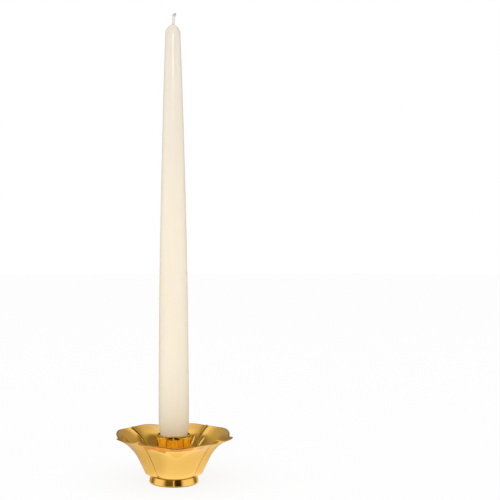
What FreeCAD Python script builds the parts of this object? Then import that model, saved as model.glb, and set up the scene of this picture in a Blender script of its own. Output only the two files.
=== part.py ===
import FreeCAD, Part

# Low brass candlestick with its taper candle.
# A bowl of thin brass is pressed into four petals. It stands on a ring foot, and a drawn cup in
# its middle holds the candle. One screw from below clamps foot, bowl and cup together.
# Millimetres, +Z up. The origin is the centre of the foot's base, and the middles of the petals
# point along +X, +Y, -X and -Y.

import math
import os

V = FreeCAD.Vector
UP = V(0, 0, 1)
AXIS_FOOT = V(0, 0, 0)

# ---- driving dimensions ----------------------------------------------------------------------

# foot ring
FOOT_HEIGHT = 5.8
FOOT_BASE_R = 18.1
FOOT_WAIST_R = 16.9
FOOT_BORE_R = 15.0
FOOT_EDGE_ROUND = 0.7
FOOT_TOP_ROUND = 1.1
FOOT_WEB = 1.2                  # thickness of the disc that the screw clamps

# petal bowl
PETALS = 4
SHEET = 0.9                     # thickness of the brass sheet
# how far up the petal (0 floor, 1 rim), height, radius in a petal's middle, radius in a crease
PETAL_PROFILE = (
    (0.00, 5.80, 16.4, 16.4),
    (0.08, 6.00, 19.1, 17.3),
    (0.17, 7.00, 20.8, 18.3),
    (0.27, 9.20, 22.0, 19.8),
    (0.42, 14.4, 24.5, 22.6),
    (0.60, 21.5, 28.0, 26.8),
    (0.78, 28.3, 33.6, 31.6),
    (1.00, 33.6, 44.7, 40.4),
)
CREASE_RISE = 1.6               # how much higher the rim is in a crease than in a petal's middle
CREASE_TURN = math.radians(2.6) # creases sit a little past halfway between the petals' tips
ROUND_LOW = 2.0                 # roundness of a petal across, low down
ROUND_RIM = 8.0                 # and at the rim, where the lobes are full up to the crease
NOTCH_DEPTH = 3.8               # how far a petal's tip is drawn in at its middle
NOTCH_DROP = 1.5                # and how far it droops there
NOTCH_SPAN = 0.62               # half-width of the notch, as a share of half a petal
NOTCH_START = 0.68              # how far up the petal the notch's dent begins
NOTCH_ROUND = 0.06
NOTCH_POWER = 1.8
LOBE_RISE = 0.9                 # how far the two lobes beside a notch curl up
FOLD_HEIGHT = 0.9               # the V-shaped fold from which each petal's tip turns outwards
FOLD_REACH = 0.36
FOLD_ROUND = 0.12
FOLD_SLOPE = math.radians(40)
FOLD_HALF_WIDTH = 0.45
ACROSS_STEPS = 36               # spans of the surface grid over one petal, side to side
UP_STEPS = 28                   # and from the floor to the rim

# candle socket
SOCKET_R = 12.8
SOCKET_BORE_R = 11.0
SOCKET_TOP = 35.1
SOCKET_BASE = 3.0
SOCKET_LIP_ARC_R = 2.4          # the lip is rolled over outside
SOCKET_BORE_ROUND = 0.3         # and has a small round inside

# screw and washers
SCREW_R = 2.0
CLEARANCE_HOLE_R = 2.25
HEAD_R = 3.5
HEAD_HEIGHT = 2.4
HEAD_ROUND = 0.5
SLOT_WIDTH = 1.1
SLOT_DEPTH = 1.1
SCREW_END_GAP = 0.4             # the screw stops this far below the socket's floor
SPRING_WASHER = (2.1, 3.6, 0.9) # inner radius, outer radius, thickness
SPRING_WASHER_GAP = 0.8
PLAIN_WASHER = (2.15, 4.5, 0.8)

# candle
WAX_R = 11.1                    # a seven-eighths inch taper, at its fullest just above the socket
WAX_FULL_Z = 45.0
WAX_BUTT_R = 9.4                # the butt is drawn in, so that it slips into the socket
WAX_NECK_R = 10.2               # its radius at the socket's lip
WAX_SHOULDER_R = 5.5
WAX_SHOULDER_Z = 328.4
WAX_TOP_Z = 333.6
WAX_TAPER = 1.8                 # exponent of the taper: nearly straight low down, faster above
WAX_STEPS = 12
WAX_BUTT_CHAMFER = 0.8
WICK_R = 1.2
WICK_TOP_Z = 342.7
WICK_LEAN = math.radians(9.0)
WICK_BEND_R = 16.0

# ---- places worked out from them ---------------------------------------------------------------

BOWL_FLOOR_Z = FOOT_HEIGHT
SOCKET_FOOT_Z = BOWL_FLOOR_Z + SHEET
SOCKET_FLOOR_Z = SOCKET_FOOT_Z + SOCKET_BASE
WEB_UNDER_Z = FOOT_HEIGHT - FOOT_WEB
SPRING_WASHER_TOP_Z = WEB_UNDER_Z - PLAIN_WASHER[2]
HEAD_TOP_Z = SPRING_WASHER_TOP_Z - SPRING_WASHER[2]
HEAD_UNDER_Z = HEAD_TOP_Z - HEAD_HEIGHT
PETAL_ANGLE = 2 * math.pi / PETALS


# ---- helpers -----------------------------------------------------------------------------------

def at(radius, height):
    """A point in the XZ half-plane that the turned pieces are drawn in."""
    return V(radius, 0, height)


def line(start, end):
    return Part.LineSegment(start, end).toShape()


def arc(start, middle, end):
    return Part.Arc(start, middle, end).toShape()


def corner_arc(start, corner, end):
    """A quarter round between two points that lie at equal distances from a square corner."""
    centre = start + end - corner
    middle = centre + (corner - centre).normalize() * (start - centre).Length
    return arc(start, middle, end)


def turned(edges):
    """The solid that a closed outline in the XZ half-plane makes when it turns about Z."""
    outline = Part.Wire(Part.__sortEdges__(edges))
    return Part.Face(outline).revolve(AXIS_FOOT, UP, 360)


def ring(inner, outer, low, height):
    disc = Part.makeCylinder(outer, height, V(0, 0, low))
    return disc.cut(Part.makeCylinder(inner, height, V(0, 0, low)))


def turn_about_z(point, angle):
    c, s = math.cos(angle), math.sin(angle)
    return V(c * point.x - s * point.y, s * point.x + c * point.y, point.z)


# ---- petal bowl --------------------------------------------------------------------------------

def profile_curve(in_crease):
    """The line up a petal, through its middle or along a crease, as a smooth curve of (r, 0, z)."""
    points = []
    for share, height, middle_r, crease_r in PETAL_PROFILE:
        radius = crease_r if in_crease else middle_r
        rise = CREASE_RISE if in_crease and share == 1.0 else 0.0
        points.append(at(radius, height + rise))
    curve = Part.BSplineCurve()
    curve.interpolate(Points=points, Parameters=[row[0] for row in PETAL_PROFILE])
    return curve


MIDDLE_CURVE = profile_curve(False)
CREASE_CURVE = profile_curve(True)


def outer_point(across, up):
    """A point on the outside of the petal along +X: across runs -1 to 1, up runs 0 to 1."""
    middle = MIDDLE_CURVE.value(up)
    crease = CREASE_CURVE.value(up)
    towards_crease = abs(across) ** (ROUND_LOW + (ROUND_RIM - ROUND_LOW) * up)
    towards_rim = max(0.0, (up - NOTCH_START) / (1 - NOTCH_START))
    from_middle = math.hypot(across, NOTCH_ROUND) - NOTCH_ROUND
    inside_v = (up - NOTCH_START) / (1 - NOTCH_START) - from_middle / NOTCH_SPAN
    pinch = max(0.0, inside_v) ** NOTCH_POWER
    from_fold = math.hypot(inside_v, FOLD_ROUND) - FOLD_ROUND
    fold = FOLD_HEIGHT * math.exp(-from_fold / FOLD_REACH) * (1 - towards_rim ** 2)
    fold *= min(1.0, up / NOTCH_START) ** 2 * math.exp(-(across / FOLD_HALF_WIDTH) ** 2)
    radius = middle.x + (crease.x - middle.x) * towards_crease
    radius += fold * math.sin(FOLD_SLOPE) - NOTCH_DEPTH * pinch
    height = middle.z + (crease.z - middle.z) * towards_crease
    height += LOBE_RISE * (math.sin(math.pi * across) * towards_rim) ** 2
    height -= fold * math.cos(FOLD_SLOPE) + NOTCH_DROP * pinch
    angle = PETAL_ANGLE / 2 * across + CREASE_TURN * across ** 2
    return V(radius * math.cos(angle), radius * math.sin(angle), height)


def slope(across, up, along_across):
    """The direction in which the outside runs, sideways or upwards."""
    step = 1e-4
    if along_across:
        low, high = max(-1.0, across - step), min(1.0, across + step)
        run = outer_point(high, up) - outer_point(low, up)
    else:
        low, high = max(0.0, up - step), min(1.0, up + step)
        run = outer_point(across, high) - outer_point(across, low)
    return run.normalize()


def inward(across, up):
    """The unit normal of the outside that points into the bowl."""
    return slope(across, up, False).cross(slope(across, up, True)).normalize()


def inner_crease_point(up):
    """Where the inner sides of this petal and the next one meet, at across = 1."""
    here = inward(1.0, up)
    beyond = turn_about_z(inward(-1.0, up), PETAL_ANGLE)
    along = slope(1.0, up, False)
    mitre = (beyond.cross(along) + along.cross(here)) * (SHEET / here.dot(beyond.cross(along)))
    return outer_point(1.0, up) + mitre


def inner_point(across, up):
    """The point of the bowl's inside that lies one sheet thickness from the outside."""
    if up == 0.0:
        return outer_point(across, up) + UP * SHEET
    if across == 1.0:
        return inner_crease_point(up)
    if across == -1.0:
        return turn_about_z(inner_crease_point(up), -PETAL_ANGLE)
    return outer_point(across, up) + inward(across, up) * SHEET


def petal_surface(point_at):
    """A smooth surface through a grid of points, its rows running up the petal."""
    grid = []
    for column in range(ACROSS_STEPS + 1):
        across = -1.0 + 2.0 * column / ACROSS_STEPS
        grid.append([point_at(across, row / UP_STEPS) for row in range(UP_STEPS + 1)])
    surface = Part.BSplineSurface()
    surface.interpolate(grid)
    return surface


def petal_bowl():
    outer = petal_surface(outer_point)
    inner = petal_surface(inner_point)
    floor_out, rim_out = [outer.vIso(v).toShape() for v in outer.bounds()[2:]]
    floor_in, rim_in = [inner.vIso(v).toShape() for v in inner.bounds()[2:]]
    one_petal = [outer.toShape(), inner.toShape(), Part.makeRuledSurface(rim_out, rim_in)]
    faces = []
    floor_edges = {"under": [], "over": []}
    for number in range(PETALS):
        degrees = 360.0 / PETALS * number
        for face in one_petal:
            faces.append(face.rotated(AXIS_FOOT, UP, degrees))
        floor_edges["under"].append(floor_out.rotated(AXIS_FOOT, UP, degrees))
        floor_edges["over"].append(floor_in.rotated(AXIS_FOOT, UP, degrees))
    for edges in floor_edges.values():
        faces.append(Part.Face(Part.Wire(edges)))
    shell = Part.makeShell(faces)
    shell.sewShape()
    bowl = Part.makeSolid(Part.Shell(shell.Faces))
    if bowl.Volume < 0:
        bowl.reverse()
    hole = Part.makeCylinder(CLEARANCE_HOLE_R, 3 * SHEET, V(0, 0, BOWL_FLOOR_Z - SHEET))
    return bowl.cut(hole)


# ---- turned and drawn brass pieces -------------------------------------------------------------

def foot_ring():
    """A flared ring under a thin web, like a shallow cup upside down."""
    base_in = at(FOOT_BORE_R + FOOT_EDGE_ROUND, 0)
    base_out = at(FOOT_BASE_R - FOOT_EDGE_ROUND, 0)
    flare_low = at(FOOT_BASE_R, FOOT_EDGE_ROUND)
    flare_top = at(FOOT_WAIST_R, FOOT_HEIGHT - FOOT_TOP_ROUND)
    shelf = at(FOOT_WAIST_R - FOOT_TOP_ROUND, FOOT_HEIGHT)
    hole_top = at(CLEARANCE_HOLE_R, FOOT_HEIGHT)
    hole_low = at(CLEARANCE_HOLE_R, WEB_UNDER_Z)
    web_end = at(FOOT_BORE_R - FOOT_EDGE_ROUND, WEB_UNDER_Z)
    wall_top = at(FOOT_BORE_R, WEB_UNDER_Z - FOOT_EDGE_ROUND)
    wall_low = at(FOOT_BORE_R, FOOT_EDGE_ROUND)
    return turned([
        line(base_in, base_out),
        corner_arc(base_out, at(FOOT_BASE_R, 0), flare_low),
        line(flare_low, flare_top),
        corner_arc(flare_top, at(FOOT_WAIST_R, FOOT_HEIGHT), shelf),
        line(shelf, hole_top),
        line(hole_top, hole_low),
        line(hole_low, web_end),
        corner_arc(web_end, at(FOOT_BORE_R, WEB_UNDER_Z), wall_top),
        line(wall_top, wall_low),
        corner_arc(wall_low, at(FOOT_BORE_R, 0), base_in),
    ])


def candle_socket():
    """A drawn cup with a thick base, which the screw is tapped into. Its lip is an arc that
    leaves the wall smoothly and ends at the rounded mouth."""
    mouth_r = SOCKET_BORE_R + SOCKET_BORE_ROUND
    lip_centre_r = SOCKET_R - SOCKET_LIP_ARC_R
    lip_rise = math.sqrt(SOCKET_LIP_ARC_R ** 2 - (mouth_r - lip_centre_r) ** 2)
    lip_centre = at(lip_centre_r, SOCKET_TOP - lip_rise)
    half_turn = math.atan2(lip_rise, mouth_r - lip_centre_r) / 2
    lip_mid = lip_centre + at(math.cos(half_turn), math.sin(half_turn)) * SOCKET_LIP_ARC_R
    tap_low = at(SCREW_R, SOCKET_FOOT_Z)
    foot_edge = at(SOCKET_R - SOCKET_BORE_ROUND, SOCKET_FOOT_Z)
    wall_low = at(SOCKET_R, SOCKET_FOOT_Z + SOCKET_BORE_ROUND)
    wall_top = at(SOCKET_R, SOCKET_TOP - lip_rise)
    mouth = at(mouth_r, SOCKET_TOP)
    bore_top = at(SOCKET_BORE_R, SOCKET_TOP - SOCKET_BORE_ROUND)
    bore_low = at(SOCKET_BORE_R, SOCKET_FLOOR_Z)
    tap_top = at(SCREW_R, SOCKET_FLOOR_Z)
    return turned([
        line(tap_low, foot_edge),
        corner_arc(foot_edge, at(SOCKET_R, SOCKET_FOOT_Z), wall_low),
        line(wall_low, wall_top),
        arc(wall_top, lip_mid, mouth),
        corner_arc(mouth, at(SOCKET_BORE_R, SOCKET_TOP), bore_top),
        line(bore_top, bore_low),
        line(bore_low, tap_top),
        line(tap_top, tap_low),
    ])


def socket_screw():
    """A slotted cheese-head screw, head down."""
    screw_top_z = SOCKET_FLOOR_Z - SCREW_END_GAP
    point = 0.4
    screw = turned([
        line(at(0, HEAD_UNDER_Z), at(HEAD_R - HEAD_ROUND, HEAD_UNDER_Z)),
        corner_arc(at(HEAD_R - HEAD_ROUND, HEAD_UNDER_Z), at(HEAD_R, HEAD_UNDER_Z),
                   at(HEAD_R, HEAD_UNDER_Z + HEAD_ROUND)),
        line(at(HEAD_R, HEAD_UNDER_Z + HEAD_ROUND), at(HEAD_R, HEAD_TOP_Z)),
        line(at(HEAD_R, HEAD_TOP_Z), at(SCREW_R, HEAD_TOP_Z)),
        line(at(SCREW_R, HEAD_TOP_Z), at(SCREW_R, screw_top_z - point)),
        line(at(SCREW_R, screw_top_z - point), at(SCREW_R - point, screw_top_z)),
        line(at(SCREW_R - point, screw_top_z), at(0, screw_top_z)),
        line(at(0, screw_top_z), at(0, HEAD_UNDER_Z)),
    ])
    slot_corner = V(-2 * HEAD_R, -SLOT_WIDTH / 2, HEAD_UNDER_Z - 1)
    return screw.cut(Part.makeBox(4 * HEAD_R, SLOT_WIDTH, SLOT_DEPTH + 1, slot_corner))


def spring_washer():
    """A washer with a cut through one side."""
    inner, outer, thickness = SPRING_WASHER
    washer = ring(inner, outer, HEAD_TOP_Z, thickness)
    gap_corner = V(0, -SPRING_WASHER_GAP / 2, HEAD_TOP_Z - 1)
    return washer.cut(Part.makeBox(2 * outer, SPRING_WASHER_GAP, thickness + 2, gap_corner))


def plain_washer():
    inner, outer, thickness = PLAIN_WASHER
    return ring(inner, outer, SPRING_WASHER_TOP_Z, thickness)


# ---- candle ------------------------------------------------------------------------------------

def wax_radius(height):
    """The taper above its fullest part: it thins faster and faster towards the shoulder."""
    share = (height - WAX_FULL_Z) / (WAX_SHOULDER_Z - WAX_FULL_Z)
    return WAX_R - (WAX_R - WAX_SHOULDER_R) * share ** WAX_TAPER


def taper_wax():
    """A taper with a domed shoulder, its wick's hole running right through it."""
    side = []
    for step in range(WAX_STEPS + 1):
        height = WAX_FULL_Z + (WAX_SHOULDER_Z - WAX_FULL_Z) * step / WAX_STEPS
        side.append(at(wax_radius(height), height))
    taper = Part.BSplineCurve()
    taper.interpolate(side)
    neck = at(WAX_NECK_R, SOCKET_TOP)
    neck_height = WAX_FULL_Z - SOCKET_TOP
    neck_swell = WAX_R - WAX_NECK_R
    neck_arc_r = (neck_height ** 2 + neck_swell ** 2) / (2 * neck_swell)
    neck_mid_in = neck_arc_r - math.sqrt(neck_arc_r ** 2 - (neck_height / 2) ** 2)
    neck_mid = at(WAX_R - neck_mid_in, SOCKET_TOP + neck_height / 2)
    butt_in = at(WICK_R, SOCKET_FLOOR_Z)
    butt_out = at(WAX_BUTT_R - WAX_BUTT_CHAMFER, SOCKET_FLOOR_Z)
    side_low = at(WAX_BUTT_R, SOCKET_FLOOR_Z + WAX_BUTT_CHAMFER)
    dome_mid = at(0.68 * WAX_SHOULDER_R, WAX_SHOULDER_Z + 0.62 * (WAX_TOP_Z - WAX_SHOULDER_Z))
    top = at(WICK_R, WAX_TOP_Z)
    return turned([
        line(butt_in, butt_out),
        line(butt_out, side_low),
        line(side_low, neck),
        arc(neck, neck_mid, side[0]),
        taper.toShape(),
        arc(side[-1], dome_mid, top),
        line(top, butt_in),
    ])


def wick():
    """Straight through the wax, then leaning to +X above it on one easy bend."""
    bend_low = V(0, 0, WAX_TOP_Z)
    bend_centre = bend_low + V(WICK_BEND_R, 0, 0)
    bend_mid = bend_centre + V(-math.cos(WICK_LEAN / 2), 0, math.sin(WICK_LEAN / 2)) * WICK_BEND_R
    bend_top = bend_centre + V(-math.cos(WICK_LEAN), 0, math.sin(WICK_LEAN)) * WICK_BEND_R
    lean = V(math.sin(WICK_LEAN), 0, math.cos(WICK_LEAN))
    end_z = WICK_TOP_Z - WICK_R * math.sin(WICK_LEAN)
    end = bend_top + lean * ((end_z - bend_top.z) / lean.z)
    path = Part.Wire([
        line(V(0, 0, SOCKET_FLOOR_Z), bend_low),
        arc(bend_low, bend_mid, bend_top),
        line(bend_top, end),
    ])
    section = Part.Wire([Part.makeCircle(WICK_R, V(0, 0, SOCKET_FLOOR_Z), UP)])
    return path.makePipeShell([section], True, True)


# ---- hand out ----------------------------------------------------------------------------------

NODES = {
    "petal_bowl": petal_bowl,
    "foot_ring": foot_ring,
    "candle_socket": candle_socket,
    "socket_screw": socket_screw,
    "spring_washer": spring_washer,
    "plain_washer": plain_washer,
    "taper_wax": taper_wax,
    "wick": wick,
}

os.makedirs("parts", exist_ok=True)
for name, build in NODES.items():
    shape = build()
    solid = shape.Solids[0]
    box = solid.optimalBoundingBox()
    print(name, "pieces", len(shape.Solids), "valid" if solid.isValid() else "NOT VALID",
          "volume %.1f" % solid.Volume,
          "x %.2f..%.2f y %.2f..%.2f z %.2f..%.2f"
          % (box.XMin, box.XMax, box.YMin, box.YMax, box.ZMin, box.ZMax))
    solid.exportStep("parts/" + name + ".step")
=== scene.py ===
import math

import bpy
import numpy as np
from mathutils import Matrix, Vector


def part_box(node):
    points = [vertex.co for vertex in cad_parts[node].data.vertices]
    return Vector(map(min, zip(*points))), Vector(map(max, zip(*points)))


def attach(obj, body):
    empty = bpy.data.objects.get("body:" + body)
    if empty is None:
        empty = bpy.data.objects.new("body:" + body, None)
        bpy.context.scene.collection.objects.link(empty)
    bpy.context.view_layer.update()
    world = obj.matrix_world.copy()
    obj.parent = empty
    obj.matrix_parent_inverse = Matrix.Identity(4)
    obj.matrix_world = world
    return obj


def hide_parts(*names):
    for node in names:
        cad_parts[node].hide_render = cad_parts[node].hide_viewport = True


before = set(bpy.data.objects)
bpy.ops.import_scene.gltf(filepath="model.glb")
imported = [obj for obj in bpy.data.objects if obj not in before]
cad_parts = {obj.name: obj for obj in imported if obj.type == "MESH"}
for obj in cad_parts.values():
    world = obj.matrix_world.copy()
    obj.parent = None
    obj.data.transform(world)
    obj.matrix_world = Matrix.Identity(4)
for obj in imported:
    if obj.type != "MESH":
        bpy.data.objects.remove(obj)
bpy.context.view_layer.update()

# A low brass candlestick: a bowl pressed into four petals on a ring foot, with a candle socket in
# its middle and an ivory taper candle. Lengths below are in millimetres and become metres in
# mesh_object(). The origin is the centre of the foot's base and +Z is up.

MM = 0.001


def node_mm(node):
    """The lowest and highest corners of a CAD node, in millimetres."""
    low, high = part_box(node)
    return np.array(low) / MM, np.array(high) / MM


BOWL_LOW = node_mm("petal_bowl")[0]
FOOT_HIGH = node_mm("foot_ring")[1]
SOCKET_LOW, SOCKET_HIGH = node_mm("candle_socket")
WAX_LOW, WAX_HIGH = node_mm("taper_wax")
WICK_HIGH = node_mm("wick")[1]

# ---- the object's own dimensions ---------------------------------------------------------------

# petal bowl
PETALS = 4
SHEET = SOCKET_LOW[2] - BOWL_LOW[2]
FLOOR_R = 16.4
HOLE_R = 2.25                   # the screw's hole through the bowl and the foot
# how far up the petal (0 floor, 1 rim), height, radius in a petal's middle, radius in a crease
PETAL_PROFILE = (
    (0.00, 5.80, 16.4, 16.4),
    (0.08, 6.00, 19.1, 17.3),
    (0.17, 7.00, 20.8, 18.3),
    (0.27, 9.20, 22.0, 19.8),
    (0.42, 14.4, 24.5, 22.6),
    (0.60, 21.5, 28.0, 26.8),
    (0.78, 28.3, 33.6, 31.6),
    (1.00, 33.6, 44.7, 40.4),
)
CREASE_RISE = 1.6               # how much higher the rim is in a crease than in a petal's middle
CREASE_TURN = math.radians(2.6) # creases sit a little past halfway between the petals' tips
ROUND_LOW = 2.0                 # roundness of a petal across, low down
ROUND_RIM = 8.0                 # and at the rim
NOTCH_DEPTH = 3.8               # how far a petal's tip is drawn in at its middle
NOTCH_DROP = 1.5                # and how far it droops there
NOTCH_SPAN = 0.62               # half-width of the notch, as a share of half a petal
NOTCH_START = 0.68              # how far up the petal the notch's dent begins
NOTCH_ROUND = 0.06
NOTCH_POWER = 1.8
LOBE_RISE = 0.9                 # how far the two lobes beside a notch curl up
FOLD_HEIGHT = 0.9               # the V-shaped fold from which each petal's tip turns outwards
FOLD_REACH = 0.36
FOLD_ROUND = 0.12
FOLD_SLOPE = math.radians(40)
FOLD_HALF_WIDTH = 0.45
BEAD_HEIGHT = 0.35              # each crease is scored: a groove outside, a bead inside
BEAD_HALF_WIDTH = 0.55
BEAD_FULL_AT = 0.12             # how far up the petal the scoring has its full height

# foot ring
FOOT_BORE_R = 15.0
FOOT_WAIST_R = 16.9
FOOT_WEB = 1.2
FOOT_ROUND = 0.7
FOOT_TOP_ROUND = 1.1

# candle socket
SOCKET_BORE_R = 11.0
SOCKET_LIP_ARC_R = 2.4          # the lip is rolled over outside
SOCKET_SMALL_ROUND = 0.3
TAPPED_HOLE_R = 2.0

# candle
WAX_FULL_Z = 45.0               # the taper is fullest just above the socket
WAX_BUTT_R = 9.4
WAX_BUTT_CHAMFER = 0.8
WAX_NECK_R = 10.2               # at the socket's lip
WAX_SHOULDER_R = 5.5
WAX_SHOULDER_Z = 328.4
WAX_TAPER = 1.8
DOME_MID_R = 0.68               # a point halfway up the dome: share of the shoulder's radius
DOME_MID_Z = 0.62               # and share of the dome's height
WICK_R = 1.2

# ---- mesh helpers ------------------------------------------------------------------------------


def mesh_object(name, points, faces, material):
    """A smooth-shaded object from points in millimetres."""
    mesh = bpy.data.meshes.new(name)
    mesh.from_pydata([tuple(p) for p in np.asarray(points, float) * MM], [], faces)
    mesh.update()
    mesh.shade_smooth()
    mesh.materials.append(material)
    piece = bpy.data.objects.new(name, mesh)
    bpy.context.scene.collection.objects.link(piece)
    return piece


def mark(piece, name, amounts):
    """Keep one number per point, 0 to 1, for the painted shade marks in the brass material."""
    attribute = piece.data.attributes.new(name, "FLOAT", "POINT")
    attribute.data.foreach_set("value", np.asarray(amounts, float).ravel())


def ring_faces(rings, columns, first=0, back_to_first=False):
    """Quads between rings of points that follow each other, ring by ring."""
    faces = []
    for ring in range(rings if back_to_first else rings - 1):
        low = first + ring * columns
        high = first + (ring + 1) % rings * columns
        for column in range(columns):
            beside = (column + 1) % columns
            faces.append((low + column, low + beside, high + beside, high + column))
    return faces


def quarter_round(start, corner, end, steps=6):
    """Points of a quarter circle from start to end round a square corner, both ends included."""
    start, corner, end = (np.array(p, float) for p in (start, corner, end))
    centre = start + end - corner
    turns = np.linspace(0, math.pi / 2, steps + 1)
    return [centre + (start - centre) * math.cos(a) + (end - centre) * math.sin(a) for a in turns]


def filled_in(outline, longest):
    """The outline with extra points, so that no step is longer than longest."""
    points = [np.array(outline[0], float)]
    for point in outline[1:]:
        step = np.array(point, float) - points[-1]
        pieces = max(1, int(math.ceil(np.linalg.norm(step) / longest)))
        start = points[-1]
        points.extend(start + step * (i + 1) / pieces for i in range(pieces))
    return points


def turned_points(outline, columns):
    """Rings of points, one for each (radius, height) pair of the outline."""
    angles = 2 * math.pi * np.arange(columns) / columns
    rings = []
    for radius, height in outline:
        rings.append(np.stack([radius * np.cos(angles), radius * np.sin(angles),
                               np.full(columns, height)], axis=1))
    return np.array(rings)


def turned_object(name, outline, material, columns=256, reshape=None):
    """A closed solid of revolution from an outline that runs once round its section."""
    rings = turned_points(outline, columns)
    if reshape is not None:
        rings = reshape(rings)
    faces = ring_faces(len(rings), columns, back_to_first=True)
    return mesh_object(name, rings.reshape(-1, 3), faces, material)


def natural_spline(knots, values):
    """A cubic spline through the values, with no curvature at its ends, as a function."""
    x, y = np.array(knots, float), np.array(values, float)
    n = len(x)
    step = np.diff(x)
    system = np.eye(n)
    right = np.zeros(n)
    for i in range(1, n - 1):
        system[i, i - 1:i + 2] = step[i - 1], 2 * (step[i - 1] + step[i]), step[i]
        right[i] = 6 * ((y[i + 1] - y[i]) / step[i] - (y[i] - y[i - 1]) / step[i - 1])
    bend = np.linalg.solve(system, right)

    def value(t):
        t = np.asarray(t, float)
        i = np.clip(np.searchsorted(x, t, side="right") - 1, 0, n - 2)
        a, b, h = x[i + 1] - t, t - x[i], step[i]
        return ((bend[i] * a ** 3 + bend[i + 1] * b ** 3) / (6 * h)
                + (y[i] / h - bend[i] * h / 6) * a + (y[i + 1] / h - bend[i + 1] * h / 6) * b)

    return value


# ---- materials ---------------------------------------------------------------------------------

BRASS_LIGHT = (0.94, 0.565, 0.140, 1.0)
BRASS_DEEP = (0.91, 0.545, 0.130, 1.0)
SOCKET_LIGHT = (0.87, 0.54, 0.075, 1.0)
SOCKET_DEEP = (0.84, 0.52, 0.065, 1.0)
EDGE_TINT = (0.97, 0.87, 0.73, 1.0)
SHADE_AND_TARNISH = "shade_and_tarnish"               # a mesh attribute: 1 where the brass gets painted shade, partly as tarnishing, in creases and corners
# the dark colour of that painted shade
SHADE_AND_TARNISH_COLOUR = (0.30, 0.135, 0.018, 1.0)
TARNISH_ROUGHNESS = 0.2
TIP_HAZE_AND_SHADE = "tip_haze_and_shade"                   # another: 1 on the petals' tips inside, duller and with a painted, less yellow shade colour
TIP_SHADE_TINT = (0.83, 0.57, 0.28, 1.0)
HAZE_ROUGHNESS = 0.13

SCREW_LIGHT = (0.80, 0.56, 0.22, 1.0)
SCREW_DARK = (0.68, 0.46, 0.17, 1.0)
STEEL_LIGHT = (0.36, 0.36, 0.37, 1.0)
STEEL_DARK = (0.24, 0.24, 0.25, 1.0)

WAX_PALE = (0.93, 0.835, 0.69, 1.0)
WAX_DEEP = (0.89, 0.79, 0.635, 1.0)
# painted shade near the top, and a painted warm glow of light from the brass above the socket
WAX_SHADED_TOP = (0.795, 0.735, 0.635, 1.0)
WAX_BRASS_GLOW = (0.99, 0.83, 0.62, 1.0)
WAX_SHADED_TOP_FADE = (0.16, 0.33)   # heights in metres over which the painted shade comes in
WAX_BRASS_GLOW_FADE = (0.035, 0.060) # and the painted glow from the brass goes out

YARN_PALE = ((0.93, 0.84, 0.77, 1.0), (0.76, 0.67, 0.60, 1.0))
YARN_DARK = ((0.46, 0.41, 0.35, 1.0), (0.27, 0.235, 0.19, 1.0))


class NodeTree:
    """Shader nodes, joined call by call."""

    def __init__(self, tree):
        self.nodes = tree.nodes
        self.links = tree.links
        self.nodes.clear()

    def add(self, kind, **settings):
        node = self.nodes.new(kind)
        for key, value in settings.items():
            setattr(node, key, value)
        return node

    def put(self, socket, value):
        if isinstance(value, bpy.types.NodeSocket):
            self.links.new(value, socket)
        else:
            socket.default_value = value

    def math(self, operation, first, second=0.0):
        node = self.add("ShaderNodeMath", operation=operation)
        self.put(node.inputs[0], first)
        self.put(node.inputs[1], second)
        return node.outputs[0]

    def spread(self, value, low_in, high_in, low, high):
        """From low to high, in a straight line, as value goes from low_in to high_in."""
        node = self.add("ShaderNodeMapRange")
        self.put(node.inputs["Value"], value)
        for name, number in (("From Min", low_in), ("From Max", high_in),
                             ("To Min", low), ("To Max", high)):
            node.inputs[name].default_value = number
        return node.outputs["Result"]

    def vary(self, noise, low, high):
        """From low to high with a noise, which seldom leaves 0.3 to 0.7."""
        return self.spread(noise, 0.3, 0.7, low, high)

    def mix(self, factor, first, second):
        """A colour mix, whose colours are inputs 6 and 7 and whose result is output 2."""
        node = self.add("ShaderNodeMix", data_type="RGBA")
        self.put(node.inputs[0], factor)
        self.put(node.inputs[6], first)
        self.put(node.inputs[7], second)
        return node.outputs[2]


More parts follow.
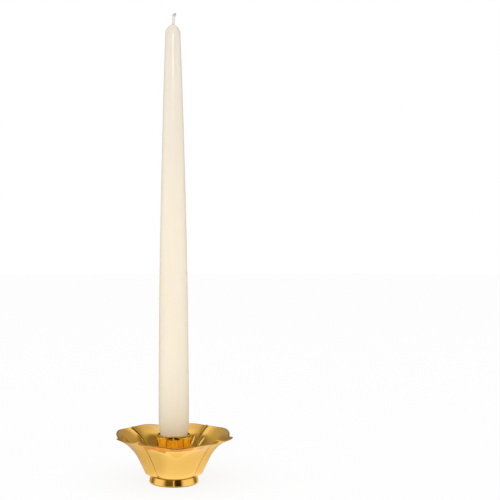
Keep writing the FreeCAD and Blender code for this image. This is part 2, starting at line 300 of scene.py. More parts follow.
class Shader(NodeTree):
    """A node material with a Principled surface."""

    def __init__(self, name):
        self.material = bpy.data.materials.new(name)
        self.material.use_nodes = True
        super().__init__(self.material.node_tree)
        self.bsdf = self.add("ShaderNodeBsdfPrincipled")
        output = self.add("ShaderNodeOutputMaterial")
        self.links.new(self.bsdf.outputs["BSDF"], output.inputs["Surface"])
        self.place = self.add("ShaderNodeTexCoord").outputs["Object"]

    def noise(self, scale, detail=4.0, roughness=0.5, place=None):
        node = self.add("ShaderNodeTexNoise")
        self.put(node.inputs["Vector"], self.place if place is None else place)
        node.inputs["Scale"].default_value = scale
        node.inputs["Detail"].default_value = detail
        node.inputs["Roughness"].default_value = roughness
        return node.outputs["Fac"]

    def stretched(self, x, y, z):
        """The object's coordinates, scaled along each axis."""
        node = self.add("ShaderNodeMapping")
        self.put(node.inputs["Vector"], self.place)
        node.inputs["Scale"].default_value = (x, y, z)
        return node.outputs["Vector"]

    def height(self):
        """How high the point lies, in metres."""
        split = self.add("ShaderNodeSeparateXYZ")
        self.put(split.inputs[0], self.place)
        return split.outputs[2]

    def around_axis(self, around, along):
        """Coordinates that run with the angle about Z, and with the height and the radius."""
        split = self.add("ShaderNodeSeparateXYZ")
        self.put(split.inputs[0], self.place)
        x, y, z = split.outputs
        joined = self.add("ShaderNodeCombineXYZ")
        self.put(joined.inputs[0], self.math("MULTIPLY", self.math("ARCTAN2", y, x), around))
        self.put(joined.inputs[1], self.math("MULTIPLY", z, along))
        radius = self.math("SQRT", self.math("ADD", self.math("MULTIPLY", x, x),
                                             self.math("MULTIPLY", y, y)))
        self.put(joined.inputs[2], self.math("MULTIPLY", radius, along))
        return joined.outputs[0]

    def bump(self, height, strength, distance, below=None):
        node = self.add("ShaderNodeBump")
        node.inputs["Strength"].default_value = strength
        node.inputs["Distance"].default_value = distance
        self.put(node.inputs["Height"], height)
        if below is not None:
            self.put(node.inputs["Normal"], below)
        return node.outputs["Normal"]

    def set(self, **values):
        """Set or link the surface's inputs by name."""
        for name, value in values.items():
            self.put(self.bsdf.inputs[name.replace("_", " ")], value)


def brass(name, turned, light=BRASS_LIGHT, deep=BRASS_DEEP):
    """Polished brass under a thin lacquer: faint clouds, wiping scratches and, on the turned
    pieces, rings left by the polishing mop. Where the first mesh mark is 1 it gets painted shade,
    partly as tarnishing; where the tips' mark is, it is duller, with a painted, less yellow shade
    colour."""
    m = Shader(name)
    clouds = m.noise(42.0, 3.0)
    fine = m.noise(900.0, 2.0)
    bright = m.mix(m.spread(clouds, 0.35, 0.65, 0.0, 1.0), light, deep)
    # painted shade, partly as tarnishing, from the mesh's mark
    shade_and_tarnish = m.add("ShaderNodeAttribute", attribute_name=SHADE_AND_TARNISH).outputs["Fac"]
    shade_and_tarnish_amount = m.math("MULTIPLY", shade_and_tarnish, m.vary(m.noise(420.0, 3.0), 0.75, 1.0))
    # duller, with a painted, less yellow shade colour, on the petals' tips inside
    tip_haze_and_shade = m.add("ShaderNodeAttribute", attribute_name=TIP_HAZE_AND_SHADE).outputs["Fac"]
    tip_haze_and_shade = m.math("MULTIPLY", tip_haze_and_shade, m.vary(clouds, 0.6, 0.95))
    colour = m.mix(shade_and_tarnish_amount, m.mix(tip_haze_and_shade, bright, TIP_SHADE_TINT), SHADE_AND_TARNISH_COLOUR)
    if turned:
        grain = m.noise(1.0, 3.0, 0.6, m.around_axis(2.0, 5200.0))
    else:
        grain = m.noise(1.0, 3.0, 0.6, m.stretched(380.0, 2600.0, 900.0))
    gloss = m.math("ADD", m.vary(grain, 0.075, 0.125), m.vary(fine, 0.0, 0.02))
    gloss = m.math("ADD", gloss, m.math("MULTIPLY", shade_and_tarnish_amount, TARNISH_ROUGHNESS))
    gloss = m.math("ADD", gloss, m.math("MULTIPLY", tip_haze_and_shade, HAZE_ROUGHNESS))
    m.set(Base_Color=colour, Metallic=1.0, Roughness=gloss, Specular_Tint=EDGE_TINT)
    waves = m.bump(m.noise(95.0, 1.0), 0.12, 0.0004)
    m.set(Normal=m.bump(grain, 0.035, 0.00004, waves))
    return m.material


def turned_metal(name, light, dark, roughness):
    """Bare turned metal with fine rings, for the fixing screw and its washers."""
    m = Shader(name)
    grain = m.noise(1.0, 4.0, 0.6, m.around_axis(3.0, 7000.0))
    clouds = m.noise(260.0, 3.0)
    m.set(Base_Color=m.mix(m.vary(clouds, 0.0, 1.0), light, dark), Metallic=1.0,
          Roughness=m.vary(grain, roughness - 0.08, roughness + 0.08))
    m.set(Normal=m.bump(grain, 0.2, 0.00005))
    return m.material


def wax(name):
    """Ivory candle wax: light sinks in a little, and faint clouds and draw marks run up it. It has
    painted shade, greyer towards the top, and a painted warm glow from the brass just above the
    socket."""
    m = Shader(name)
    clouds = m.noise(1.0, 4.0, 0.55, m.stretched(70.0, 70.0, 14.0))
    draw = m.noise(1.0, 3.0, 0.5, m.around_axis(9.0, 22.0))
    colour = m.mix(m.vary(clouds, 0.0, 1.0), WAX_PALE, WAX_DEEP)
    height = m.height()
    # painted shade towards the top and a painted glow from the brass above the socket
    colour = m.mix(m.spread(height, *WAX_SHADED_TOP_FADE, 0.0, 1.0), colour, WAX_SHADED_TOP)
    colour = m.mix(m.spread(height, *WAX_BRASS_GLOW_FADE, 1.0, 0.0), colour, WAX_BRASS_GLOW)
    m.set(Base_Color=colour, Roughness=m.vary(draw, 0.19, 0.27), IOR=1.44,
          Subsurface_Weight=0.45, Subsurface_Radius=(1.0, 0.72, 0.5), Subsurface_Scale=0.003)
    soft = m.bump(clouds, 0.18, 0.0005)
    m.set(Normal=m.bump(draw, 0.10, 0.0003, soft))
    return m.material


def cotton(name, tip_low, tip_high):
    """Wick yarn soaked in wax, greyer and darker towards its tip."""
    m = Shader(name)
    towards_tip = m.spread(m.height(), tip_low, tip_high, 0.0, 1.0)
    fibres = m.noise(1.0, 4.0, 0.65, m.stretched(5200.0, 5200.0, 900.0))
    m.set(Base_Color=m.mix(towards_tip, m.mix(fibres, *YARN_PALE), m.mix(fibres, *YARN_DARK)),
          Roughness=m.vary(fibres, 0.55, 0.8))
    m.set(Normal=m.bump(fibres, 0.5, 0.0001))
    return m.material


BRASS_PRESSED = brass("polished_brass_pressed", False)
BRASS_TURNED = brass("polished_brass_turned", True)
BRASS_SOCKET = brass("polished_brass_socket", True, SOCKET_LIGHT, SOCKET_DEEP)
SCREW_BRASS = turned_metal("screw_brass", SCREW_LIGHT, SCREW_DARK, 0.30)
SPRING_STEEL = turned_metal("spring_steel", STEEL_LIGHT, STEEL_DARK, 0.36)
IVORY_WAX = wax("ivory_wax")

# ---- petal bowl --------------------------------------------------------------------------------

PETAL_COLUMNS = 132
COLUMNS_NEAR_CREASES = 0.65     # how strongly the columns crowd towards the creases, 0 to 1
UP_ROWS = 84
FLOOR_ROWS = 10
RIM_STEPS = 10
RIM_START = 0.976               # from here up the rim is rounded over towards the inside
RIM_CORNER_ROUND = 0.15
CREASE_SOFTENING = 2            # passes that round each crease to a small radius

# painted shade, partly as tarnishing, in the creases and corners of the bowl:
SHADE_AND_TARNISH_HALF_WIDTH = 0.42       # in the creases, in millimetres
SHADE_AND_TARNISH_INSIDE = 0.4            # how strong it is on their inner side
SHADE_AND_TARNISH_UP_TO = 0.12            # the bowl also gets painted shade just above the foot
SHADE_AND_TARNISH_ON_RIM = 0.6            # and on the rim of each petal's tip
TIP_HAZE_AND_SHADE_AT_FOLD = 0.3              # how strong the tips' dullness and painted shade colour are along the V below a notch
TIP_HAZE_AND_SHADE_FADE = 0.35                # how far it takes to grow from nothing to full across that V


def petal_grid(ups):
    """How far across its petal each point of the rings is, -1 to 1, and how far up, 0 to 1."""
    even = -1.0 + 2.0 * np.arange(PETAL_COLUMNS) / PETAL_COLUMNS
    crowded = np.sin(math.pi / 2 * even)
    across = (1 - COLUMNS_NEAR_CREASES) * even + COLUMNS_NEAR_CREASES * crowded
    return np.meshgrid(across, ups)


def past_notch_start(up):
    """How far up the notch a point is: 0 where its dent begins and 1 at the rim."""
    return (up - NOTCH_START) / (1 - NOTCH_START)


def inside_notch(across, up):
    """How far a point lies inside the V below a petal's notch, in shares of the notch's height.
    It is 0 along the V and negative outside it."""
    from_middle = np.sqrt(across ** 2 + NOTCH_ROUND ** 2) - NOTCH_ROUND
    return past_notch_start(up) - from_middle / NOTCH_SPAN


def outer_bowl(ups):
    """The outside of the sheet as rings of points, one ring for each value in ups."""
    share, height, middle_r, crease_r = (np.array(column) for column in zip(*PETAL_PROFILE))
    crease_z = height + CREASE_RISE * (share == 1.0)
    middle = natural_spline(share, middle_r)(ups), natural_spline(share, height)(ups)
    crease = natural_spline(share, crease_r)(ups), natural_spline(share, crease_z)(ups)
    across, up = petal_grid(ups)
    edge = np.abs(across)
    towards_crease = edge ** (ROUND_LOW + (ROUND_RIM - ROUND_LOW) * up)
    towards_rim = np.clip(past_notch_start(up), 0, 1)
    inside_v = inside_notch(across, up)
    pinch = np.clip(inside_v, 0, 1) ** NOTCH_POWER
    from_fold = np.sqrt(inside_v ** 2 + FOLD_ROUND ** 2) - FOLD_ROUND
    fold = FOLD_HEIGHT * np.exp(-from_fold / FOLD_REACH) * (1 - towards_rim ** 2)
    fold *= np.clip(up / NOTCH_START, 0, 1) ** 2 * np.exp(-(edge / FOLD_HALF_WIDTH) ** 2)
    radius = middle[0][:, None] + (crease[0] - middle[0])[:, None] * towards_crease
    radius += fold * math.sin(FOLD_SLOPE) - NOTCH_DEPTH * pinch
    lift = middle[1][:, None] + (crease[1] - middle[1])[:, None] * towards_crease
    lift += LOBE_RISE * np.sin(math.pi * edge) ** 2 * towards_rim ** 2 - NOTCH_DROP * pinch
    lift -= fold * math.cos(FOLD_SLOPE)
    turn = math.pi / PETALS * across + CREASE_TURN * across ** 2
    rings = []
    for petal in range(PETALS):
        angle = turn + 2 * math.pi / PETALS * petal
        rings.append(np.stack([radius * np.cos(angle), radius * np.sin(angle), lift], axis=2))
    rings = np.concatenate(rings, axis=1)
    for _ in range(CREASE_SOFTENING):
        rings = (np.roll(rings, 1, axis=1) + 2 * rings + np.roll(rings, -1, axis=1)) / 4
    return rings


def from_crease(rings):
    """How far each point lies from its nearest crease, along its ring."""
    steps = np.linalg.norm(np.roll(rings, -1, axis=1) - rings, axis=2)
    along = np.cumsum(steps, axis=1) - steps
    whole = steps.sum(axis=1, keepdims=True)
    creases = along[:, ::PETAL_COLUMNS]
    apart = np.abs(along[:, :, None] - creases[:, None, :])
    return np.minimum(apart, whole[:, :, None] - apart).min(axis=2)


def inward_normals(rings):
    """Unit normals of the rings' surface, pointing into the bowl."""
    sideways = np.roll(rings, -1, axis=1) - np.roll(rings, 1, axis=1)
    upwards = np.gradient(rings, axis=0)
    normals = np.cross(upwards, sideways)
    return normals / np.linalg.norm(normals, axis=2, keepdims=True)


def rim_section():
    """The rim's round, from the outside to the inside, as pairs: how far across the sheet from
    its middle, in millimetres, and how far out towards the rim, 0 to 1."""
    half, small = SHEET / 2, RIM_CORNER_ROUND
    section = quarter_round((-half, 1 - small), (-half, 1), (small - half, 1), 3)
    for turn in np.linspace(0, math.pi / 2, RIM_STEPS)[1:-1]:
        section.append((small - half + (SHEET - small) * math.sin(turn), math.cos(turn)))
    return section


def mark_bowl(sheet, outer, ups, rows_under, rows_rim, rows):
    """Mark the painted shade, partly as tarnishing, in the creases, above the foot and on the tips'
    rim, and the tips' dullness with its painted shade colour.
    """
    columns = PETALS * PETAL_COLUMNS
    outside = slice(rows_under, rows_under + len(ups))
    rim = slice(outside.stop, outside.stop + rows_rim)
    inside = slice(rim.stop, rim.stop + len(ups))
    in_crease = np.exp(-(from_crease(outer) / SHADE_AND_TARNISH_HALF_WIDTH) ** 2)
    near_foot = np.clip((SHADE_AND_TARNISH_UP_TO - ups) / (SHADE_AND_TARNISH_UP_TO / 2), 0, 1)
    tips = np.clip(inside_notch(*petal_grid(ups)) / TIP_HAZE_AND_SHADE_FADE + TIP_HAZE_AND_SHADE_AT_FOLD, 0, 1)
    tips = np.tile(tips, PETALS)
    shade_and_tarnish, tip_haze_and_shade = np.zeros((2, rows, columns))
    shade_and_tarnish[outside] = np.maximum(in_crease, near_foot[:, None])
    shade_and_tarnish[rim] = SHADE_AND_TARNISH_ON_RIM * tips[-1]
    shade_and_tarnish[inside] = SHADE_AND_TARNISH_INSIDE * in_crease[::-1]
    tip_haze_and_shade[inside] = tips[::-1]
    mark(sheet, SHADE_AND_TARNISH, shade_and_tarnish)
    mark(sheet, TIP_HAZE_AND_SHADE, tip_haze_and_shade)


def petal_bowl():
    """One closed sheet: outside, rounded rim, inside, and a floor with the screw's hole."""
    ups = np.linspace(0, RIM_START, UP_ROWS)
    outer = outer_bowl(np.append(ups, 1.0))
    outer, rim_line = outer[:-1], outer[-1]
    reach = rim_line - outer[-1]
    normals = inward_normals(outer)
    normals[0] = (0, 0, 1)
    inner = outer + SHEET * normals
    inner[0, :, 2] = outer[0, :, 2] + SHEET
    bead = np.exp(-(from_crease(outer) / BEAD_HALF_WIDTH) ** 2)[:, :, None]
    bead *= np.clip(ups / BEAD_FULL_AT, 0, 1)[:, None, None] * BEAD_HEIGHT
    outer += bead * normals
    inner += bead * normals
    middle = (outer[-1] + inner[-1]) / 2
    rim = [middle + across * normals[-1] + out * reach for across, out in rim_section()]
    floor_radii = np.linspace(HOLE_R, FLOOR_R, FLOOR_ROWS)[:-1]
    start = outer[0] / np.linalg.norm(outer[0, :, :2], axis=1, keepdims=True)
    under = [np.stack([start[:, 0] * r, start[:, 1] * r, outer[0, :, 2]], axis=1)
             for r in floor_radii]
    over = [ring + (0, 0, SHEET) for ring in under]
    rings = under + list(outer) + rim + list(inner[::-1]) + over[::-1]
    faces = ring_faces(len(rings), PETALS * PETAL_COLUMNS, back_to_first=True)
    sheet = mesh_object("petal_bowl_sheet", np.concatenate(rings), faces, BRASS_PRESSED)
    mark_bowl(sheet, outer, ups, len(under), len(rim), len(rings))
    return sheet


bowl = petal_bowl()
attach(bowl, "holder")
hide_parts("petal_bowl")

# ---- foot ring ---------------------------------------------------------------------------------

FOOT_LONGEST_STEP = 0.6         # between points of the outline


def foot_ring():
    """A flared ring under a thin web, like a shallow cup upside down."""
    base_r, top = FOOT_HIGH[0], FOOT_HIGH[2]
    web_under = top - FOOT_WEB
    outline = [(FOOT_BORE_R + FOOT_ROUND, 0.0)]
    outline += quarter_round((base_r - FOOT_ROUND, 0), (base_r, 0), (base_r, FOOT_ROUND), 8)
    outline += quarter_round((FOOT_WAIST_R, top - FOOT_TOP_ROUND), (FOOT_WAIST_R, top),
                             (FOOT_WAIST_R - FOOT_TOP_ROUND, top), 6)
    outline += [(HOLE_R, top), (HOLE_R, web_under)]
    outline += quarter_round((FOOT_BORE_R - FOOT_ROUND, web_under), (FOOT_BORE_R, web_under),
                             (FOOT_BORE_R, web_under - FOOT_ROUND), 6)
    outline += quarter_round((FOOT_BORE_R, FOOT_ROUND), (FOOT_BORE_R, 0),
                             (FOOT_BORE_R + FOOT_ROUND, 0), 6)[:-1]
    ring = turned_object("foot_ring_turned", filled_in(outline, FOOT_LONGEST_STEP), BRASS_TURNED)
    heights = np.array([point.co.z for point in ring.data.vertices]) / MM
    radii = np.array([point.co.xy.length for point in ring.data.vertices]) / MM
    # painted shade under the bowl, on the rounded shoulder, and a painted dark reflection along the
    # edge of the base
    shoulder = np.clip((heights - (top - FOOT_TOP_ROUND)) / FOOT_TOP_ROUND, 0, 1)
    base_edge = np.clip(1 - heights / FOOT_ROUND, 0, 1)
    on_shoulder = radii > FOOT_WAIST_R - 2 * FOOT_TOP_ROUND
    outside = radii > FOOT_WAIST_R
    mark(ring, SHADE_AND_TARNISH, np.maximum(shoulder * on_shoulder, base_edge * outside))
    return ring


foot = foot_ring()
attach(foot, "holder")
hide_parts("foot_ring")

# ---- candle socket -----------------------------------------------------------------------------

SOCKET_LONGEST_STEP = 0.8
LIP_POINTS = 15


def candle_socket():
    """A drawn cup with a rounded lip."""
    out_r, low, top = SOCKET_HIGH[0], SOCKET_LOW[2], SOCKET_HIGH[2]
    small = SOCKET_SMALL_ROUND
    mouth_r = SOCKET_BORE_R + small
    lip_centre_r = out_r - SOCKET_LIP_ARC_R
    lip_rise = math.sqrt(SOCKET_LIP_ARC_R ** 2 - (mouth_r - lip_centre_r) ** 2)
    lip_turn = math.atan2(lip_rise, mouth_r - lip_centre_r)
    floor = WAX_LOW[2]
    outline = [(TAPPED_HOLE_R, low)]
    outline += quarter_round((out_r - small, low), (out_r, low), (out_r, low + small), 4)
    for turn in np.linspace(0, lip_turn, LIP_POINTS):
        outline.append((lip_centre_r + SOCKET_LIP_ARC_R * math.cos(turn),
                        top - lip_rise + SOCKET_LIP_ARC_R * math.sin(turn)))
    outline += quarter_round((mouth_r, top), (SOCKET_BORE_R, top), (SOCKET_BORE_R, top - small), 5)[1:]
    outline += [(SOCKET_BORE_R, floor), (TAPPED_HOLE_R, floor)]
    return turned_object("candle_socket_cup", filled_in(outline, SOCKET_LONGEST_STEP), BRASS_SOCKET)


socket = candle_socket()
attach(socket, "holder")
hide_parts("candle_socket")

# ---- candle ------------------------------------------------------------------------------------

WAX_LONGEST_STEP = 4.0
WAX_COLUMNS = 160
NECK_ROWS = 10
TAPER_ROWS = 90
DOME_ROWS = 14
UNEVENNESS = 0.006              # as a share of the wax's radius
OVAL_TWIST = 0.013              # how far the flats turn round the candle, per millimetre up
THREE_SIDED = 0.3               # a weaker wave that goes three times round
THREE_SIDED_TWIST = -0.031
EVEN_WITHIN = 3.0               # millimetres round the wick that stay even


def circle_through(first, second, third, steps):
    """Points of the arc that goes through three (radius, height) points."""
    (ax, ay), (bx, by), (cx, cy) = first, second, third
    d = 2 * (ax * (by - cy) + bx * (cy - ay) + cx * (ay - by))
    a2, b2, c2 = ax * ax + ay * ay, bx * bx + by * by, cx * cx + cy * cy
    centre = np.array([(a2 * (by - cy) + b2 * (cy - ay) + c2 * (ay - by)) / d,
                       (a2 * (cx - bx) + b2 * (ax - cx) + c2 * (bx - ax)) / d])
    radius = math.hypot(ax - centre[0], ay - centre[1])
    begin = math.atan2(ay - centre[1], ax - centre[0])
    sweep = math.atan2(cy - centre[1], cx - centre[0]) - begin
    sweep = (sweep + math.pi) % (2 * math.pi) - math.pi
    turns = begin + sweep * np.arange(steps + 1) / steps
    return [centre + radius * np.array([math.cos(a), math.sin(a)]) for a in turns]


def unevenly(rings):
    """Small swells and flats, always inwards, so that the wax stays within its size."""
    angle = np.arctan2(rings[..., 1], rings[..., 0])
    height = rings[..., 2]
    share = 0.5 + 0.5 * np.sin(2 * angle + OVAL_TWIST * height + 0.8)
    share += THREE_SIDED * (0.5 + 0.5 * np.sin(3 * angle + THREE_SIDED_TWIST * height))
    from_wick = np.hypot(rings[..., 0], rings[..., 1]) - WICK_R
    outside = np.clip(from_wick / EVEN_WITHIN, 0, 1)
    shrink = 1 - UNEVENNESS * share * outside
    rings[..., 0] *= shrink
    rings[..., 1] *= shrink
    return rings


def taper_wax():
    """The candle with its drawn-in butt and domed shoulder, not quite round and not quite even."""
    low, top, full_r = WAX_LOW[2], WAX_HIGH[2], WAX_HIGH[0]
    outline = [(WICK_R, low), (WAX_BUTT_R - WAX_BUTT_CHAMFER, low),
               (WAX_BUTT_R, low + WAX_BUTT_CHAMFER)]
    neck_height, swell = WAX_FULL_Z - SOCKET_HIGH[2], full_r - WAX_NECK_R
    arc_r = (neck_height ** 2 + swell ** 2) / (2 * swell)
    for height in np.linspace(SOCKET_HIGH[2], WAX_FULL_Z, NECK_ROWS)[:-1]:
        in_by = arc_r - math.sqrt(arc_r ** 2 - (WAX_FULL_Z - height) ** 2)
        outline.append((full_r - in_by, height))
    for height in np.linspace(WAX_FULL_Z, WAX_SHOULDER_Z, TAPER_ROWS):
        share = (height - WAX_FULL_Z) / (WAX_SHOULDER_Z - WAX_FULL_Z)
        outline.append((full_r - (full_r - WAX_SHOULDER_R) * share ** WAX_TAPER, height))
    dome_mid = (DOME_MID_R * WAX_SHOULDER_R, WAX_SHOULDER_Z + DOME_MID_Z * (top - WAX_SHOULDER_Z))
    outline += circle_through((WAX_SHOULDER_R, WAX_SHOULDER_Z), dome_mid, (WICK_R, top), DOME_ROWS)[1:]
    return turned_object("taper_wax_body", filled_in(outline, WAX_LONGEST_STEP), IVORY_WAX,
                         WAX_COLUMNS, unevenly)


wax_body = taper_wax()
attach(wax_body, "candle")
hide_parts("taper_wax")


WICK_STANDS_RIGHT = 0.3         # of the candle's axis
WICK_BEND = 0.0085              # it leans over by this times the square of its height
WICK_BENDS_FROM = WAX_HIGH[2] - 1.5
WICK_DARKER_FROM = WAX_HIGH[2] + 5.5
WICK_DARKEST_FROM = WICK_HIGH[2] - 1.2
YARNS = 3
YARN_R = 0.70
YARN_SIDES = 10
YARN_STEP = 0.22                # between a yarn's rings of points
YARN_START = WAX_HIGH[2] - 6.0  # the plait starts inside the wax
YARN_END = WICK_HIGH[2] - 0.7
YARN_CUT = 0.45                 # the radius of its cut end, as a share of the yarn's
YARN_WIDENS = 0.2               # and how much it grows with each ring from there
CUT_SHORTER = (0.0, 0.5, 1.1)   # how much shorter than the longest each yarn is cut
PLAIT_LENGTH = 5.0
PLAIT_SWING = (0.50, 0.38)      # how far a yarn swings sideways, and to the front and back
FRAY_LENGTH = 2.2               # the plait comes loose over this length
FRAY = 0.9


def wick_line(height):
    """The middle of the wick at a height: straight in the wax, then leaning towards +X."""
    above = np.clip(height - WICK_BENDS_FROM, 0, None)
    return np.array([WICK_BEND * above ** 2 + WICK_STANDS_RIGHT, 0.0, height])


def yarn_line(phase, heights):
    """The middle of one yarn of the plait, as a point for each height."""
    middle = []
    for height in heights:
        turn = 2 * math.pi * height / PLAIT_LENGTH + phase
        loose = 1 + FRAY * np.clip((height - (YARN_END - FRAY_LENGTH)) / FRAY_LENGTH, 0, 1)
        swing = np.array([PLAIT_SWING[0] * math.sin(turn), PLAIT_SWING[1] * math.sin(2 * turn), 0.0])
        middle.append(wick_line(height) + swing * loose)
    return np.array(middle)


def tube_rings(middle):
    """Rings of points round a yarn's middle line, smaller over the last few at its cut end."""
    along = np.gradient(middle, axis=0)
    along /= np.linalg.norm(along, axis=1, keepdims=True)
    side = np.cross(along, (0, 1, 0))
    side /= np.linalg.norm(side, axis=1, keepdims=True)
    other = np.cross(along, side)
    turns = 2 * math.pi * np.arange(YARN_SIDES) / YARN_SIDES
    rings = []
    for i, centre in enumerate(middle):
        rings_left = len(middle) - 1 - i
        radius = YARN_R * min(1.0, YARN_CUT + YARN_WIDENS * rings_left)
        round_it = np.cos(turns)[:, None] * side[i] + np.sin(turns)[:, None] * other[i]
        rings.append(centre + radius * round_it)
    return rings


def wick():
    """Three waxed yarns plaited together, their cut ends a little apart."""
    rings, faces = [], []
    for yarn, shorter in enumerate(CUT_SHORTER):
        heights = np.arange(YARN_START, YARN_END - shorter, YARN_STEP)
        first = len(rings) * YARN_SIDES
        last = first + (len(heights) - 1) * YARN_SIDES
        rings += tube_rings(yarn_line(2 * math.pi * yarn / YARNS, heights))
        faces += ring_faces(len(heights), YARN_SIDES, first)
        faces.append(tuple(range(first + YARN_SIDES - 1, first - 1, -1)))
        faces.append(tuple(range(last, last + YARN_SIDES)))
    material = cotton("waxed_cotton", WICK_DARKER_FROM * MM, WICK_DARKEST_FROM * MM)
    return mesh_object("wick_plait", np.concatenate(rings), faces, material)


wick_piece = wick()
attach(wick_piece, "candle")
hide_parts("wick")

# ---- screw and washers: the CAD shapes are right, and get better materials ---------------------

for node, material in (("socket_screw", SCREW_BRASS), ("plain_washer", SCREW_BRASS),
                       ("spring_washer", SPRING_STEEL)):
    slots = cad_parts[node].data.materials
    slots.clear()
    slots.append(material)

# ---- camera ------------------------------------------------------------------------------------

CAMERA_DISTANCE = 0.679
CAMERA_HEIGHT = 0.1691
CAMERA_TURN = math.radians(3.6)  # the petals' tips point a little to one side of the view
CAMERA_ROLL = math.radians(0.15)
FRAME_WIDTH_AT_OBJECT = 0.365
CANDLE_LEFT_OF_MIDDLE = 0.1532   # as a share of the frame's width

camera_data = bpy.data.cameras.new("camera")
camera_data.sensor_width = 36.0
camera_data.lens = camera_data.sensor_width * CAMERA_DISTANCE / FRAME_WIDTH_AT_OBJECT
camera_data.shift_x = CANDLE_LEFT_OF_MIDDLE
camera_data.clip_end = 20.0
camera = bpy.data.objects.new("camera", camera_data)
camera.location = (-CAMERA_DISTANCE * math.sin(CAMERA_TURN),
                   -CAMERA_DISTANCE * math.cos(CAMERA_TURN), CAMERA_HEIGHT)
camera.rotation_euler = (math.pi / 2, CAMERA_ROLL, -CAMERA_TURN)
bpy.context.scene.collection.objects.link(camera)
bpy.context.scene.camera = camera

# ---- floor and studio --------------------------------------------------------------------------

WHITE = (1.0, 1.0, 1.0, 1.0)
FLOOR_GLOW = 0.86               # the pale floor is lit evenly, like a light table
FLOOR_ALBEDO = 0.15
FLOOR_RINGS = (0.01, 100.0, 500.0, 6000.0)
FLOOR_COLUMNS = 96
# how bright polished metal sees the floor: distance from the candlestick in mm, brightness
FLOOR_POOL = ((0, 0.25), (18.2, 0.25), (19.6, 1.15), (24, 1.15), (28, 1.0), (37, 0.95), (50, 0.80),
              (75, 0.64), (130, 0.50), (400, 0.30))
FLOOR_POOL_LEFT = 0.84          # the pool is dimmer on the object's left
POOL_LEFT_FROM = (-0.016, 0.008)  # x of that part's edge, softness, both in metres
FLOOR_POOL_BEHIND = 0.25        # and in the candlestick's shade behind it
SHADE_FROM = (0.009, 0.007)     # y of the shade's front edge, softness
SHADE_HALF_WIDTH = (0.026, 0.006)
TENT_BEHIND = 0.62              # how bright plain surfaces see the tent behind the object
TENT_BEHIND_FROM = (95.0, 25.0) # azimuth in degrees, softness
WARMTH = (1.12, 1.6)            # powers that dim the green and the blue of dim light

# What polished metal sees in the tent. Azimuths and elevations are in degrees. Azimuth 0 is
# towards the camera and +90 is the object's right.
DIM = 0.26                      # the tent between its lamps
# behind the object: elevation, brightness
BACKDROP = ((0, 0.27), (12, 0.32), (20, 0.41), (30, 0.50), (38, 0.56), (46, 0.70), (60, 0.84))
BACKDROP_FROM = (126.0, 22.0)   # azimuth of its edges, softness
# a low strip on each side: from and to azimuth, softness, brightness
SIDE_STRIPS = ((-106.0, -48.0, 13.0, 1.02), (39.0, 107.0, 12.0, 1.05))
SIDE_STRIPS_TOP = (19.5, 4.0)   # elevation, softness
# dark flags beside the camera, and the slit between them: from and to azimuth, softness
LEFT_FLAG = (-37.0, 0.0, 4.0)
RIGHT_FLAG = (6.0, 38.0, 5.0)
SLIT = (-2.0, 4.0, 1.0)
FLAGS_SLANT = 0.15              # how far they lean over, in degrees for each degree up
FLAGS_TOP = (78.0, 5.0)
FLAG_DARK = 0.03
LEFT_FLAG_LOW = (10.0, 30.0, 0.24)  # this flag is paler low down: elevations, brightness
SLIT_BRIGHT = 0.85
# overhead panel, as shares of its height: from and to, softness
OVERHEAD_ACROSS = (-0.46, 0.46, 0.16)
OVERHEAD_BACK = (0.0, 0.52, 0.15)
OVERHEAD_BRIGHT = 1.0
# a thin oblique strip higher up on the left
THIN_STRIP_SLANT = 2.1
THIN_STRIP = (-6.0, 9.0, 4.0)
THIN_STRIP_UP = (37.0, 52.0, 4.0)
THIN_STRIP_BRIGHT = 1.1


class Light(NodeTree):
    """Soft-edged shapes of light."""

    def rise(self, value, middle, soft):
        """From 0 to 1 as value passes middle."""
        node = self.add("ShaderNodeMapRange", interpolation_type="SMOOTHSTEP")
        self.put(node.inputs["Value"], value)
        node.inputs["From Min"].default_value = middle - soft
        node.inputs["From Max"].default_value = middle + soft
        return node.outputs["Result"]

    def both(self, first, second):
        """Where two shapes overlap."""
        return self.math("MULTIPLY", first, second)

    def beyond(self, value, middle, soft):
        """From 1 to 0 as value passes middle."""
        return self.math("SUBTRACT", 1.0, self.rise(value, middle, soft))

    def span(self, value, low, high, soft):
        """1 between low and high, 0 outside."""
        return self.both(self.rise(value, low, soft), self.beyond(value, high, soft))

    def steps(self, value, stops):
        """A curve through (value, brightness) stops."""
        top = stops[-1][0]
        node = self.add("ShaderNodeValToRGB")
        self.put(node.inputs["Fac"], self.math("DIVIDE", value, top))
        ramp = node.color_ramp
        while len(ramp.elements) < len(stops):
            ramp.elements.new(1.0)
        for element, (place, level) in zip(ramp.elements, stops):
            element.position = place / top
            element.color = (level, level, level, 1.0)
        return node.outputs["Color"]

    def lerp(self, factor, first, second):
        """From the first brightness to the second as factor goes from 0 to 1."""
        node = self.add("ShaderNodeMix", data_type="FLOAT")
        self.put(node.inputs[0], factor)
        self.put(node.inputs[2], first)
        self.put(node.inputs[3], second)
        return node.outputs[0]

    def warmed(self, level):
        """Grey light as a colour that is warmer where it is dim."""
        colour = self.add("ShaderNodeCombineColor")
        self.put(colour.inputs[0], level)
        self.put(colour.inputs[1], self.math("POWER", level, WARMTH[0]))
        self.put(colour.inputs[2], self.math("POWER", level, WARMTH[1]))
        return colour.outputs[0]

    def for_gloss(self, plain, glossy):
        """One shader for plain surfaces and the camera, another for reflections."""
        choice = self.add("ShaderNodeMixShader")
        self.put(choice.inputs[0], self.add("ShaderNodeLightPath").outputs["Is Glossy Ray"])
        self.put(choice.inputs[1], plain)
        self.put(choice.inputs[2], glossy)
        return choice.outputs[0]


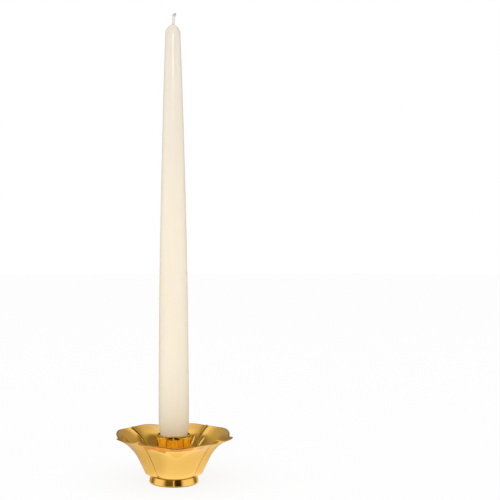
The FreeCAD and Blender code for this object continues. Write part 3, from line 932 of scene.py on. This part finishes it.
def pale_floor():
    """A flat disc, pale and lit a little from within, so that shadows on it stay faint."""
    material = bpy.data.materials.new("pale_floor")
    material.use_nodes = True
    tree = Light(material.node_tree)
    place = tree.add("ShaderNodeTexCoord").outputs["Object"]
    surface = tree.add("ShaderNodeBsdfDiffuse")
    surface.inputs["Color"].default_value = (FLOOR_ALBEDO,) * 3 + (1.0,)
    glow = tree.add("ShaderNodeEmission")
    glow.inputs["Strength"].default_value = FLOOR_GLOW
    plain = tree.add("ShaderNodeAddShader")
    tree.put(plain.inputs[0], surface.outputs[0])
    tree.put(plain.inputs[1], glow.outputs[0])
    distance = tree.add("ShaderNodeVectorMath", operation="LENGTH")
    tree.put(distance.inputs[0], place)
    pool = tree.add("ShaderNodeEmission")
    level = tree.steps(tree.math("DIVIDE", distance.outputs["Value"], MM), FLOOR_POOL)
    split = tree.add("ShaderNodeSeparateXYZ")
    tree.put(split.inputs[0], place)
    to_right = tree.rise(split.outputs[0], *POOL_LEFT_FROM)
    level = tree.both(level, tree.spread(to_right, 0.0, 1.0, FLOOR_POOL_LEFT, 1.0))
    sideways = tree.math("ABSOLUTE", split.outputs[0])
    shade = tree.both(tree.rise(split.outputs[1], *SHADE_FROM),
                      tree.beyond(sideways, *SHADE_HALF_WIDTH))
    level = tree.both(level, tree.spread(shade, 0.0, 1.0, 1.0, FLOOR_POOL_BEHIND))
    tree.put(pool.inputs["Color"], tree.warmed(level))
    output = tree.add("ShaderNodeOutputMaterial")
    tree.put(output.inputs["Surface"], tree.for_gloss(plain.outputs[0], pool.outputs[0]))
    rings = turned_points([(radius, 0.0) for radius in FLOOR_RINGS], FLOOR_COLUMNS)
    faces = ring_faces(len(FLOOR_RINGS), FLOOR_COLUMNS)
    return mesh_object("pale_floor", rings.reshape(-1, 3), faces, material)


pale_floor()


def studio_sky():
    """A white tent. In polished metal it shows its lamps: one overhead that reaches back, a low
    strip at each side, a thin strip higher up on the left, and dark flags beside the camera
    with a slit between them."""
    world = bpy.data.worlds.new("studio")
    world.use_nodes = True
    sky = Light(world.node_tree)
    split = sky.add("ShaderNodeSeparateXYZ")
    sky.put(split.inputs[0], sky.add("ShaderNodeTexCoord").outputs["Generated"])
    x, y, z = split.outputs
    turn = sky.math("ARCTAN2", x, sky.math("MULTIPLY", y, -1.0))
    azimuth = sky.math("MULTIPLY", sky.math("ADD", turn, CAMERA_TURN), math.degrees(1.0))
    elevation = sky.math("MULTIPLY", sky.math("ARCSINE", z), math.degrees(1.0))
    to_either_side = sky.math("ABSOLUTE", azimuth)
    height = sky.math("MAXIMUM", z, 0.001)

    light = sky.lerp(sky.rise(to_either_side, *BACKDROP_FROM), DIM, sky.steps(elevation, BACKDROP))
    low_down = sky.beyond(elevation, *SIDE_STRIPS_TOP)
    for low, high, soft, bright in SIDE_STRIPS:
        light = sky.lerp(sky.both(sky.span(azimuth, low, high, soft), low_down), light, bright)
    slanted = sky.math("ADD", azimuth, sky.math("MULTIPLY", elevation, FLAGS_SLANT))
    not_top = sky.beyond(elevation, *FLAGS_TOP)
    left_dark = sky.spread(elevation, *LEFT_FLAG_LOW, FLAG_DARK)
    for edges, bright in ((LEFT_FLAG, left_dark), (RIGHT_FLAG, FLAG_DARK), (SLIT, SLIT_BRIGHT)):
        light = sky.lerp(sky.both(sky.span(slanted, *edges), not_top), light, bright)
    overhead = sky.both(sky.span(sky.math("DIVIDE", x, height), *OVERHEAD_ACROSS),
                        sky.span(sky.math("DIVIDE", y, height), *OVERHEAD_BACK))
    light = sky.lerp(overhead, light, OVERHEAD_BRIGHT)
    oblique = sky.math("ADD", azimuth, sky.math("MULTIPLY", elevation, THIN_STRIP_SLANT))
    thin_strip = sky.both(sky.span(oblique, *THIN_STRIP), sky.span(elevation, *THIN_STRIP_UP))
    light = sky.lerp(thin_strip, light, THIN_STRIP_BRIGHT)

    panels = sky.add("ShaderNodeBackground")
    sky.put(panels.inputs["Color"], sky.warmed(light))
    tent = sky.add("ShaderNodeBackground")
    from_behind = sky.rise(to_either_side, *TENT_BEHIND_FROM)
    seen = sky.add("ShaderNodeLightPath").outputs["Is Camera Ray"]
    soft = sky.spread(from_behind, 0.0, 1.0, 1.0, TENT_BEHIND)
    sky.put(tent.inputs["Strength"], sky.lerp(seen, soft, 1.0))
    tent.inputs["Color"].default_value = WHITE
    output = sky.add("ShaderNodeOutputWorld")
    sky.put(output.inputs["Surface"], sky.for_gloss(tent.outputs[0], panels.outputs[0]))
    bpy.context.scene.world = world


studio_sky()

LAMP_TARGET_HEIGHT = 0.12


def softbox(name, azimuth, elevation, distance, width, height, power, shines_on=None):
    """A rectangular lamp that points at the candlestick. It gives plain light, or, with
    shines_on, only a highlight on that one piece."""
    turn = math.radians(azimuth) - math.pi / 2 - CAMERA_TURN
    rise = math.radians(elevation)
    data = bpy.data.lights.new(name, "AREA")
    data.shape = "RECTANGLE"
    data.size = width
    data.size_y = height
    data.energy = power
    target = Vector((0, 0, LAMP_TARGET_HEIGHT))
    lamp = bpy.data.objects.new(name, data)
    away = Vector((math.cos(turn) * math.cos(rise), math.sin(turn) * math.cos(rise), math.sin(rise)))
    lamp.location = target + away * distance
    lamp.rotation_euler = (-away).to_track_quat("-Z", "Y").to_euler()
    lamp.visible_camera = False
    lamp.visible_glossy = shines_on is not None
    lamp.visible_diffuse = shines_on is None
    if shines_on is not None:
        receivers = bpy.data.collections.new(name + "_receivers")
        receivers.objects.link(shines_on)
        lamp.light_linking.receiver_collection = receivers
    bpy.context.scene.collection.objects.link(lamp)


# azimuth and elevation in degrees, then distance, width and height in metres, and power in watts
softbox("front_softbox", -20, 35, 1.3, 1.0, 1.0, 2.0)
softbox("candle_highlight", 1.5, 25.5, 1.44, 0.04, 0.09, 3.6, shines_on=wax_body)
bpy.context.scene.view_settings.view_transform = "Standard"
